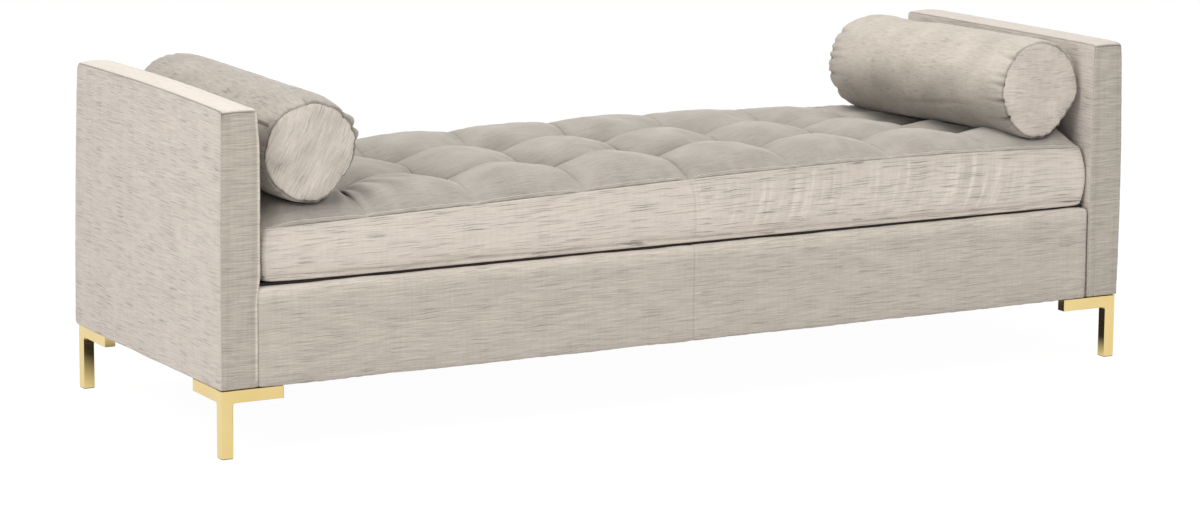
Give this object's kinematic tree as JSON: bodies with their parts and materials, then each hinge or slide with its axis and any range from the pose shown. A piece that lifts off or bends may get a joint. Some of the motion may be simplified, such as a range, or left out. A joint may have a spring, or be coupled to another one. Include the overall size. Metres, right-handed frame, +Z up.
{
  "type": "recamier",
  "caption": "Long backless seat between two straight upholstered end panels, with a tufted loose cushion, loose round bolsters and square metal corner legs.",
  "frame": {"origin": "on the floor, under the middle of the seat", "axes": "+X along the length, to the right seen from the front; +Y from the front to the back; +Z up"},
  "size_m": [1.981, 0.686, 0.6552],
  "materials": {
    "upholstery_fabric": "slubbed velvet, light taupe",
    "foam": "open-cell foam and fibre fill",
    "timber": "sawn hardwood, unfinished",
    "hardboard": "pressed board, smooth",
    "webbing": "woven elastic webbing",
    "deck_felt": "pressed felt",
    "dust_cloth": "black non-woven cloth",
    "gold_metal": "polished, pale gold",
    "glide_plastic": "black nylon",
    "screw_steel": "zinc plated"
  },
  "bodies": {
    "frame": {"left_arm_front_post": "timber", "left_arm_back_post": "timber", "left_arm_top_rail": "timber", "left_end_rail": "timber", "left_arm_outer_panel": "hardboard", "left_arm_inner_panel": "hardboard", "left_arm_cover": "upholstery_fabric", "right_arm_front_post": "timber", "right_arm_back_post": "timber", "right_arm_top_rail": "timber", "right_end_rail": "timber", "right_arm_outer_panel": "hardboard", "right_arm_inner_panel": "hardboard", "right_arm_cover": "upholstery_fabric", "front_seat_rail": "timber", "back_seat_rail": "timber", "cross_rail_1": "timber", "cross_rail_2": "timber", "front_rail_cover": "upholstery_fabric", "back_rail_cover": "upholstery_fabric", "corner_block_front_left": "timber", "leg_front_left": "gold_metal", "glide_front_left": "glide_plastic", "leg_screw_front_left_1": "screw_steel", "leg_screw_front_left_2": "screw_steel", "corner_block_front_right": "timber", "leg_front_right": "gold_metal", "glide_front_right": "glide_plastic", "leg_screw_front_right_1": "screw_steel", "leg_screw_front_right_2": "screw_steel", "corner_block_back_left": "timber", "leg_back_left": "gold_metal", "glide_back_left": "glide_plastic", "leg_screw_back_left_1": "screw_steel", "leg_screw_back_left_2": "screw_steel", "corner_block_back_right": "timber", "leg_back_right": "gold_metal", "glide_back_right": "glide_plastic", "leg_screw_back_right_1": "screw_steel", "leg_screw_back_right_2": "screw_steel", "cross_strap_1": "webbing", "cross_strap_2": "webbing", "cross_strap_3": "webbing", "cross_strap_4": "webbing", "cross_strap_5": "webbing", "cross_strap_6": "webbing", "cross_strap_7": "webbing", "long_strap_1": "webbing", "long_strap_2": "webbing", "long_strap_3": "webbing", "deck_pad": "deck_felt", "dust_cover": "dust_cloth"},
    "seat_cushion": {"seat_cushion_cover": "upholstery_fabric", "seat_cushion_core": "foam"},
    "bolster_left": {"bolster_left_cover": "upholstery_fabric", "bolster_left_core": "foam"},
    "bolster_right": {"bolster_right_cover": "upholstery_fabric", "bolster_right_core": "foam"}
  },
  "joints": [
    {"name": "cushion_lift", "type": "slide", "parent": "frame", "child": "seat_cushion", "axis": [0, 0, 1], "range_m": [0, 0.33]},
    {"name": "bolster_left_lift", "type": "slide", "parent": "seat_cushion", "child": "bolster_left", "axis": [0, 0, 1], "range_m": [0, 0.2]},
    {"name": "bolster_right_lift", "type": "slide", "parent": "seat_cushion", "child": "bolster_right", "axis": [0, 0, 1], "range_m": [0, 0.2]}
  ]
}
